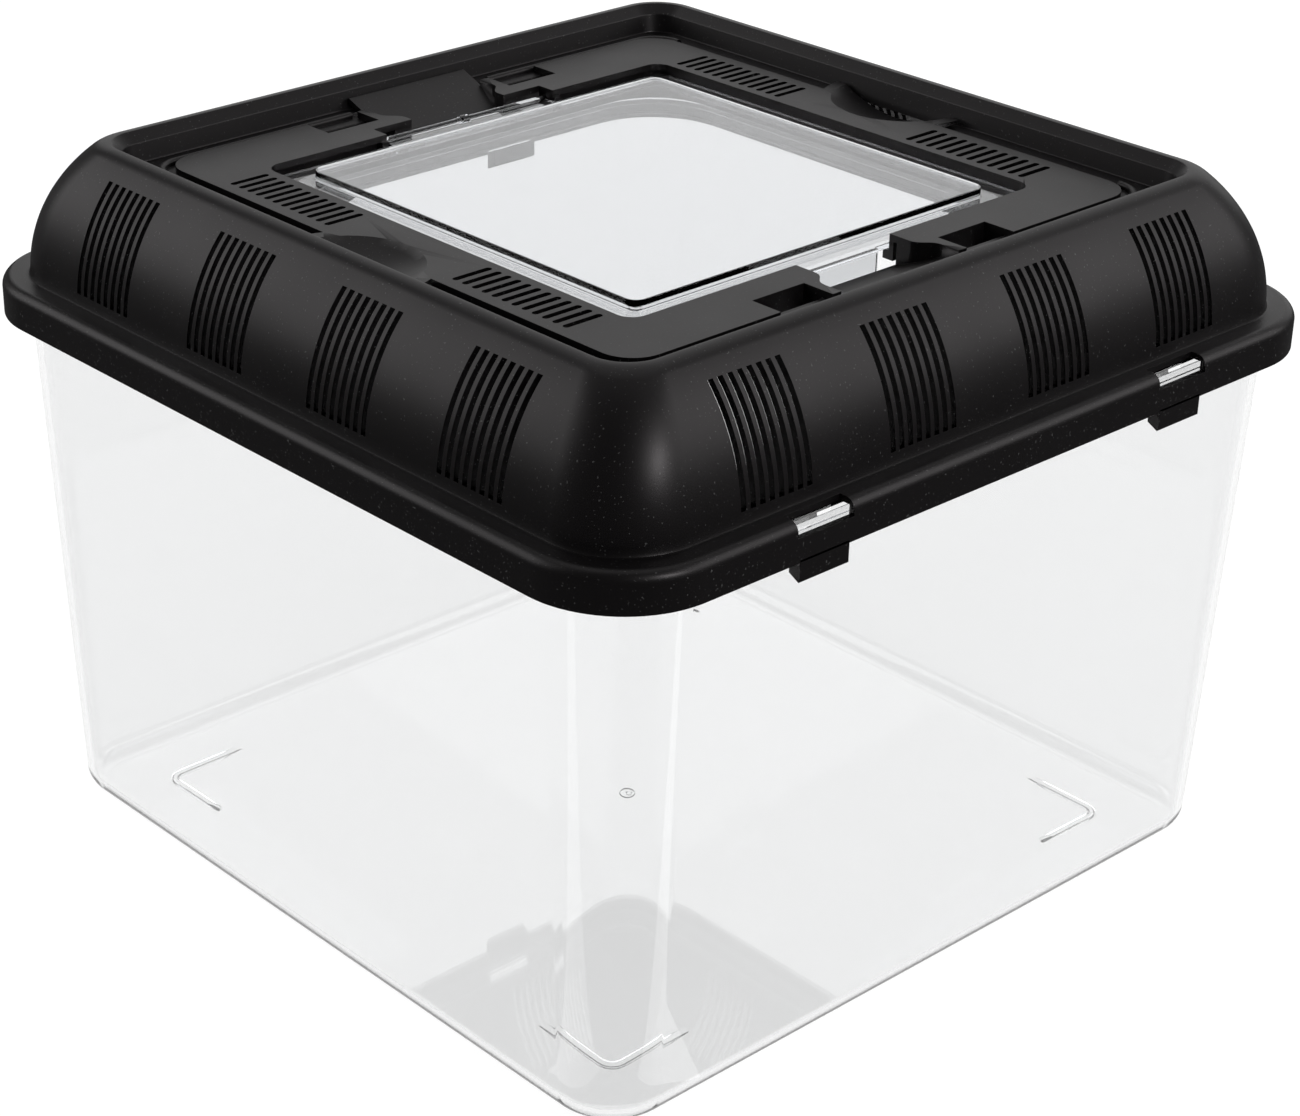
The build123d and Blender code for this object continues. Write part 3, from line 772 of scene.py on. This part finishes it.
class BOX_OT_lid(bpy.types.Operator):
    """Make the black lid with its slits, well, bead, channels and snap hooks"""

    bl_idname = "breeding_box.lid"
    bl_label = "Lid"

    def execute(self, context):
        size = context.scene.box_lid
        shoulder = Shoulder(size)
        rings = self.outside_rings(size, shoulder)
        rings += self.well_rings(size, shoulder)
        rings += self.inside_rings(size, shoulder)
        lid = ring_object("lid_black", rings, closed=True)
        boolean(lid, self.openings(size), "DIFFERENCE")
        self.cut_slits(lid, size)
        self.add_mouldings(lid, size)
        soften(lid, degrees=32)
        dress(lid, finish_named("satin_black"), "lid", "lid_shell")
        return {"FINISHED"}

    def outside_rings(self, size, shoulder):
        """Rings up the skirt, over the flange and up the shoulder to the rim."""
        profile = [
            (size.half - EDGE, size.skirt_bottom),
            (size.half - EDGE_MIDDLE, size.skirt_bottom + EDGE_MIDDLE),
            (size.half, size.skirt_bottom + EDGE),
        ]
        edge = size.edge_round
        for angle in quarter_turn(steps=8):
            half = size.half - edge + edge * math.cos(angle)
            profile.append((half, size.flange_top - edge + edge * math.sin(angle)))
        rings = profile_rings(profile, size.half - size.radius)
        # Fillet at the shoulder's foot: distance out, and height over the flange
        for out, up in ((1.0, 0.0), (0.3, 0.3)):
            half = size.foot_half + out * MM
            rings.append(rounded_ring(half, half, size.foot_radius, size.flange_top + up * MM))
        start = math.radians(1.2)
        angles = spread(start, shoulder.join, steps=28)[:-1]
        angles += spread(shoulder.join, math.pi / 2, steps=12)
        return rings + [shoulder.ring(angle) for angle in angles]

    def well_rings(self, size, shoulder):
        """Rings from the rim's crest down the well, round the seat and up behind the well."""
        top = size.flange_top + size.rise
        crest_flat = 0.4 * MM
        slope = shoulder.rim_centre - crest_flat - size.well_half
        well, foot = size.well_half, size.well_half - size.well_draft
        seat_top = top - size.well_depth
        seat_bottom = seat_top - size.wall
        # Small distances are the rounds on the edges
        wall = [
            (well + slope, top - 0.05 * MM),
            (well + 0.2 * MM, top - slope + 0.15 * MM),
            (well - 0.05 * MM, top - slope - 0.2 * MM),
            (foot + 0.06 * MM, seat_top + 0.6 * MM),
            (foot - 0.15 * MM, seat_top + 0.15 * MM),
            (foot - 0.6 * MM, seat_top),
        ]
        edge, soft = foot - size.seat, 0.3 * MM
        seat = [
            (edge + soft, seat_top),
            (edge, seat_top - soft),
            (edge, seat_bottom + soft),
            (edge + soft, seat_bottom),
        ]
        back = [(foot + size.wall, seat_bottom), (foot + size.wall, top - slope - size.wall)]
        corner_centre = size.well_half - size.well_radius
        rings = profile_rings(wall, corner_centre)
        rings += [rounded_ring(half, half, size.seat_radius, z) for half, z in seat]
        return rings + profile_rings(back, corner_centre)

    def inside_rings(self, size, shoulder):
        """Rings down the inside of the shoulder, and under the flange to the skirt's edge."""
        start = math.radians(83)
        angles = spread(start, shoulder.join, steps=6) + spread(shoulder.join, 0.0, steps=14)[1:]
        rings = [shoulder.ring(angle, size.wall) for angle in angles]
        half = size.foot_half - size.wall
        underside = size.flange_top - size.flange
        rings.append(rounded_ring(half, half, size.foot_radius - size.wall, underside))
        skirt, soft = size.half - size.flange, 0.3 * MM
        profile = [
            (skirt, underside),
            (skirt, size.skirt_bottom + soft),
            (skirt + soft, size.skirt_bottom),
        ]
        return rings + profile_rings(profile, size.half - size.radius)

    def openings(self, size):
        """Gaps in the seat at all four sides, a gap over each hook, and four channels in the seat."""
        cuts = bmesh.new()
        low, high = 221, 226
        gap_start, x_gap_end, y_gap_end, x_gap_half, y_gap_half = 104.0, 114.0, 118.0, 27.8, 24.5
        hook, hook_gap = size.hook_place / MM, 10.9
        flange_gap = (149.2, hook - hook_gap, 186.3), (156.0, hook + hook_gap, 192)
        channel = [(*corner, z) for corner, z in zip(zip(CHANNEL_ENDS, CHANNEL_SIDES), (low, high))]
        for side in SIDES:
            start = side * gap_start
            add_block(cuts, (start, -x_gap_half, low), (side * x_gap_end, x_gap_half, high))
            add_block(cuts, (-y_gap_half, start, low), (y_gap_half, side * y_gap_end, high))
            for other in SIDES:
                add_corner_block(cuts, side, other, *flange_gap)
                add_corner_block(cuts, side, other, *channel)
        return cuts

    def cut_slits(self, lid, size):
        """Runs the node tree that cuts the vent slits, with the panel's sizes."""
        rim_width = 4.5 * MM
        tree = slit_tree()
        slits = lid.modifiers.new("Vent Slits", "NODES")
        slits.node_group = tree
        values = {
            "Width": size.slit_width,
            "Pitch": size.slit_pitch,
            "Bottom": size.slit_bottom,
            "Top": size.slit_top,
            "Outer Group": size.group_place,
            "Near": size.well_half + rim_width,
            "Far": size.half - size.flange,
            "Slits": size.slit_count,
            "Plastic": finish_named("satin_black"),
            # Slit walls get the darker black, painted shade inside the slits
            "Painted Shade Wall": finish_named("painted_shade_black"),
        }
        for name, value in values.items():
            slits[socket_id(tree, name)] = value
        bake(lid)

    def add_mouldings(self, lid, size):
        """Adds the troughs, the snap hooks and the bead to the lid's mesh."""
        extra = bmesh.new()
        for side_x in SIDES:
            for side_y in SIDES:
                self.add_trough(extra, side_x, side_y)
                turn = Matrix.Rotation(0.0 if side_x > 0 else math.pi, 4, "Z")
                place = Matrix.Translation((0, side_y * size.hook_place, 0)) @ turn
                add_prism(extra, HOOK_OUTLINE, place, HOOK_HALF_WIDTH)
                self.add_bead(extra, side_x, side_y)
        bmesh.ops.recalc_face_normals(extra, faces=extra.faces)
        extra.from_mesh(lid.data)
        extra.to_mesh(lid.data)
        extra.free()

    def add_trough(self, shape, side_x, side_y):
        """Four walls and a floor under a channel."""
        bottom, floor_top, wall_top = 218.0, 220.0, 222.8
        (start, end), (inner, outer) = CHANNEL_ENDS, CHANNEL_SIDES
        low = (start - CHANNEL_WALL, inner - CHANNEL_WALL)
        high = (end + CHANNEL_WALL, outer + CHANNEL_WALL)
        walls = (
            (low, (high[0], inner)),
            ((low[0], outer), high),
            ((low[0], inner), (start, outer)),
            ((end, inner), (high[0], outer)),
        )
        for near, far in walls:
            add_corner_block(shape, side_x, side_y, (*near, bottom), (*far, wall_top))
        add_corner_block(shape, side_x, side_y, (*low, bottom), (*high, floor_top))

    def add_bead(self, shape, side_x, side_y):
        """A bead with a round top that bends round one corner of the well."""
        place, bend, half_width = 110.5, 10.0, 1.3
        start, halfway, end = 29.9, 60.0, 99.4
        foot, shoulder, dome = 224.6, 225.8, 1.2
        middle = place - bend
        path = [(place, start), (place, halfway)]
        for angle in quarter_turn(ROUND_STEPS):
            path.append((middle + bend * math.cos(angle), middle + bend * math.sin(angle)))
        path.append((end, place))
        outline = [(-half_width, foot), (half_width, foot), (half_width, shoulder)]
        for angle in spread(0.0, math.pi, steps=8)[1:-1]:
            outline.append((half_width * math.cos(angle), shoulder + dome * math.sin(angle)))
        outline.append((-half_width, shoulder))
        sweep(shape, path, lambda point: outline, Matrix.Diagonal((side_x, side_y, 1, 1)))


# Vent frame


class BOX_OT_vent_frame(bpy.types.Operator):
    """Make the black vent frame with smooth dips and scoops"""

    bl_idname = "breeding_box.vent_frame"
    bl_label = "Vent Frame"

    def execute(self, context):
        shape = bmesh.new()
        shape.from_mesh(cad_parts["vent_frame"].data)
        bmesh.ops.remove_doubles(shape, verts=shape.verts, dist=0.002 * MM)
        mesh = bpy.data.meshes.new("vent_frame_black")
        shape.to_mesh(mesh)
        shape.free()
        mesh.materials.clear()
        mesh.materials.append(finish_named("satin_black"))
        # Second material: painted shade on the upright walls inside the slit groups
        mesh.materials.append(finish_named("painted_shade_black"))
        for face in mesh.polygons:
            face.material_index = int(self.is_painted_shade_wall(face))
        piece = new_object("vent_frame_black", mesh)
        soften(piece, degrees=14)
        dress(piece, finish_named("satin_black"), "frame", "vent_frame")
        return {"FINISHED"}

    def is_painted_shade_wall(self, face):
        """Whether an upright face stands inside one of the four groups of slits, and so takes the darker
        black as painted shade.
        """
        start, end = 28.5 * MM, 78.5 * MM
        inner, outer = 88.5 * MM, 103.2 * MM
        in_group = start < abs(face.center.x) < end and inner < abs(face.center.y) < outer
        upright = abs(face.normal.z) < 0.5
        return in_group and upright


# Window


class BOX_OT_window(bpy.types.Operator):
    """Make the clear window with its flange, hinge rod and finger tab"""

    bl_idname = "breeding_box.window"
    bl_label = "Window"

    def execute(self, context):
        size = context.scene.box_window
        window = ring_object("window_clear", self.shell_rings(size), closed=False)
        tab_half, tab_bottom, tab_top = 15, 213, 224.2
        tab = bmesh.new()
        add_block(tab, (84.1, -tab_half, tab_bottom), (86.2, tab_half, tab_top), chamfer=0.5)
        boolean(window, tab, "UNION")

        radius, rod_x, rod_z = size.rod / MM, -87.5, 223.3
        strip_end, strip_half, strip_bottom, strip_top = -81.0, 35.2, 222.5, 224.1
        strip = bmesh.new()
        add_block(strip, (rod_x, -strip_half, strip_bottom), (strip_end, strip_half, strip_top))
        boolean(window, strip, "UNION")
        rod = bmesh.new()
        add_rod(rod, radius, half_length=38.2, x=rod_x, z=rod_z)
        boolean(window, rod, "UNION")
        nub = bmesh.new()
        add_rod(nub, radius + 0.6, half_length=1.5, x=rod_x, z=rod_z)
        boolean(window, nub, "UNION")
        soften(window, degrees=28)
        dress(window, finish_named("polished_window"), "window", "window")
        return {"FINISHED"}

    def shell_rings(self, size):
        """Rings from the pane's face down its side, round the flange and up the inside."""
        flange_x = (size.flange_half + size.hinge_edge) / 2
        flange_shift = (size.flange_half - size.hinge_edge) / 2
        flange_top = size.bottom + size.flange
        rings = []

        def pane_ring(half, radius, z):
            rings.append(rounded_ring(half, half, radius * MM, z, size.pane_shift))

        def flange_ring(inset, z):
            half_x, half_y = flange_x - inset, size.flange_half - inset
            rings.append(rounded_ring(half_x, half_y, size.flange_radius - inset, z, flange_shift))

        outer_radius, inner_radius = 4.0, 2.0
        edge = EDGE / MM
        for angle in quarter_turn(steps=4):
            inset, drop = edge * (1 - math.sin(angle)), edge * (1 - math.cos(angle))
            pane_ring(size.pane_half - inset * MM, outer_radius - inset, size.pane_top - drop * MM)
        # Fillet on the flange: distance out, corner radius, and height over the flange
        for out, radius, up in ((0.0, outer_radius, 0.4), (0.12, 4.1, 0.1), (0.4, 4.4, 0.0)):
            pane_ring(size.pane_half + out * MM, radius, flange_top + up * MM)
        # Rounds on the flange's edges: distance in, and distance from the flat face
        rounds = ((0.3, 0.0), (0.08, 0.1), (0.0, 0.35))
        for inset, depth in rounds:
            flange_ring(inset * MM, flange_top - depth * MM)
        for inset, depth in reversed(rounds):
            flange_ring(inset * MM, size.bottom + depth * MM)
        inner = size.pane_half - size.pane_wall
        ceiling = size.pane_top - size.pane
        inside = (
            (0.3, size.bottom),
            (0.0, size.bottom + 0.3 * MM),
            (0.0, ceiling - 0.15 * MM),
            (-0.15, ceiling),
        )
        for out, z in inside:
            pane_ring(inner + out * MM, inner_radius + out, z)
        return rings


# Studio


# Name, place, width, height and power of each soft box, in metres and watts
SOFT_BOXES = (
    ("left_box", (-1.30, -1.00, 0.98), 1.3, 1.3, 10.5),
    ("right_box", (0.99, 1.06, 0.95), 1.1, 1.1, 8.0),
    ("back_box", (-1.14, 1.58, 1.00), 3.0, 1.7, 12.5),
    ("corner_spot", (1.28, -0.01, 0.83), 0.16, 0.16, 6.0),
    ("top_box", (-0.25, 0.25, 1.70), 1.6, 1.6, 4.5),
)

# Name, near end, direction and width of each strip of light on the floor by the near corner
STRIPS = (
    ("left_strip", (0.126, -0.140), (-0.16, -0.987), 0.045),
    ("right_strip", (0.140, -0.118), (0.894, 0.447), 0.035),
)


class BOX_OT_studio(bpy.types.Operator):
    """Make the pale floor, the soft lights and the camera"""

    bl_idname = "breeding_box.studio"
    bl_label = "Studio"

    def execute(self, context):
        scene = context.scene
        floor = new_object("studio_floor", self.floor_mesh())
        floor.data.materials.append(studio_floor(tuple(scene.box_finishes.floor)))
        floor.visible_glossy = False
        world = bpy.data.worlds.new("studio")
        world.use_nodes = True
        set_inputs(world.node_tree.nodes["Background"], Color=WHITE, Strength=0.10)
        scene.world = world
        target = Vector((0, 0, 0.12))
        for name, place, width, height, power in SOFT_BOXES:
            self.add_lamp(name, place, target - Vector(place), power, width, height)
        self.light_tank()
        self.add_camera(scene)
        scene.view_settings.view_transform = "Standard"
        scene.view_settings.look = "None"
        return {"FINISHED"}

    def floor_mesh(self):
        """A flat floor that curves up into a backdrop behind the box."""
        half_width, bend_start, bend, backdrop_top = 4.0, 1.6, 0.8, 3.2
        profile = [(-half_width, 0.0), (bend_start, 0.0)]
        for angle in quarter_turn(steps=12)[1:]:
            profile.append((bend_start + bend * math.sin(angle), bend - bend * math.cos(angle)))
        profile.append((bend_start + bend, backdrop_top))
        turn = Matrix.Rotation(AZIMUTH, 4, "Z")
        shape = bmesh.new()
        rows = []
        for y, z in profile:
            ends = [turn @ Vector((x, y, z)) for x in (-half_width, half_width)]
            rows.append([shape.verts.new(point) for point in ends])
        for low, high in zip(rows, rows[1:]):
            face = shape.faces.new((low[0], low[1], high[1], high[0]))
            face.smooth = True
        mesh = bpy.data.meshes.new("studio_floor")
        shape.to_mesh(mesh)
        shape.free()
        return mesh

    def add_lamp(self, name, place, aim, power, width, height):
        """An area lamp that shines along a direction and isn't seen itself."""
        lamp = bpy.data.lights.new(name, "AREA")
        lamp.energy = power
        lamp.shape = "RECTANGLE"
        lamp.size = width
        lamp.size_y = height
        made = bpy.data.objects.new(name, lamp)
        made.location = place
        made.rotation_euler = aim.to_track_quat("-Z", "Y").to_euler()
        made.visible_camera = False
        bpy.context.scene.collection.objects.link(made)
        return made

    def light_tank(self):
        """A glow from the floor and two upright highlights at the near corner, on the tank alone."""
        tank = bpy.data.collections.new("tank_alone")
        tank.objects.link(bpy.data.objects["tank_clear"])
        up = Vector((0, 0, 1))
        lamps = [self.add_lamp("floor_glow", (0, 0, 0.0006), up, 8.0, 1.6, 1.6)]
        strip_length, strip_middle, strip_height, strip_power = 0.27, 0.15, 0.001, 0.03
        for name, start, way, width in STRIPS:
            x, y = (near + strip_middle * step for near, step in zip(start, way))
            lamp = self.add_lamp(name, (x, y, strip_height), up, strip_power, strip_length, width)
            lamp.rotation_euler = (math.pi, 0, math.atan2(way[1], way[0]))
            lamps.append(lamp)
        for lamp in lamps:
            lamp.visible_transmission = False
            lamp.visible_diffuse = False
            lamp.light_linking.receiver_collection = tank

    def add_camera(self, scene):
        """A camera at the viewing angle that was measured for the box."""
        lift, roll = math.radians(27.02), math.radians(0.29)
        level = math.cos(lift)
        back = Vector((math.sin(AZIMUTH) * level, -math.cos(AZIMUTH) * level, math.sin(lift)))
        right = Vector((math.cos(AZIMUTH), math.sin(AZIMUTH), 0))
        up = back.cross(right)
        across = math.cos(roll) * right + math.sin(roll) * up
        upward = math.cos(roll) * up - math.sin(roll) * right
        target, distance, left, down = Vector((0, 0, 0.110)), 0.9917, 0.03578, 0.02371
        place = target + back * distance - across * left - upward * down
        # Focal length, middle of the lens and size of the picture, in pixels
        focal, middle_x, middle_y, picture_width, picture_height = 2997.34, 528.04, 585.38, 1300, 1116
        data = bpy.data.cameras.new("camera")
        data.sensor_width = 36
        data.lens = focal * data.sensor_width / picture_width
        data.shift_x = (picture_width / 2 - middle_x) / picture_width
        data.shift_y = (middle_y - picture_height / 2) / picture_width
        data.clip_start = 0.01
        data.clip_end = 50
        camera = bpy.data.objects.new("camera", data)
        facing = Matrix((across, upward, back)).transposed().to_4x4()
        camera.matrix_world = Matrix.Translation(place) @ facing
        scene.collection.objects.link(camera)
        scene.camera = camera


# Panel and registration


PIECES = (BOX_OT_tank, BOX_OT_lid, BOX_OT_vent_frame, BOX_OT_window, BOX_OT_studio)
GROUPS = {
    "box_tank": TankSizes,
    "box_lid": LidSizes,
    "box_window": WindowSizes,
    "box_finishes": Finishes,
}


class BOX_PT_panel(bpy.types.Panel):
    """Sizes, colours and pieces of the breeding box"""

    bl_idname = "BOX_PT_panel"
    bl_label = "Breeding Box"
    bl_space_type = "VIEW_3D"
    bl_region_type = "UI"
    bl_category = "Breeding Box"

    def draw(self, context):
        for holder, title in zip(GROUPS, ("Tank", "Lid", "Window", "Finishes")):
            column = self.layout.column(align=True)
            column.label(text=title)
            for name in GROUPS[holder].__annotations__:
                column.prop(getattr(context.scene, holder), name)
        for operator in PIECES:
            self.layout.operator(operator.bl_idname)


CLASSES = (*GROUPS.values(), *PIECES, BOX_PT_panel)


def register():
    """Registers every class and hangs the sizes on the scene."""
    for made in CLASSES:
        bpy.utils.register_class(made)
    for holder, group in GROUPS.items():
        setattr(bpy.types.Scene, holder, PointerProperty(type=group))


def unregister():
    """Takes back what register did."""
    for holder in GROUPS:
        delattr(bpy.types.Scene, holder)
    for made in reversed(CLASSES):
        bpy.utils.unregister_class(made)


def main():
    """Makes every piece in order."""
    register()
    bpy.ops.breeding_box.tank()
    bpy.ops.breeding_box.lid()
    bpy.ops.breeding_box.vent_frame()
    bpy.ops.breeding_box.window()
    bpy.ops.breeding_box.studio()


if __name__ == "__main__":
    main()
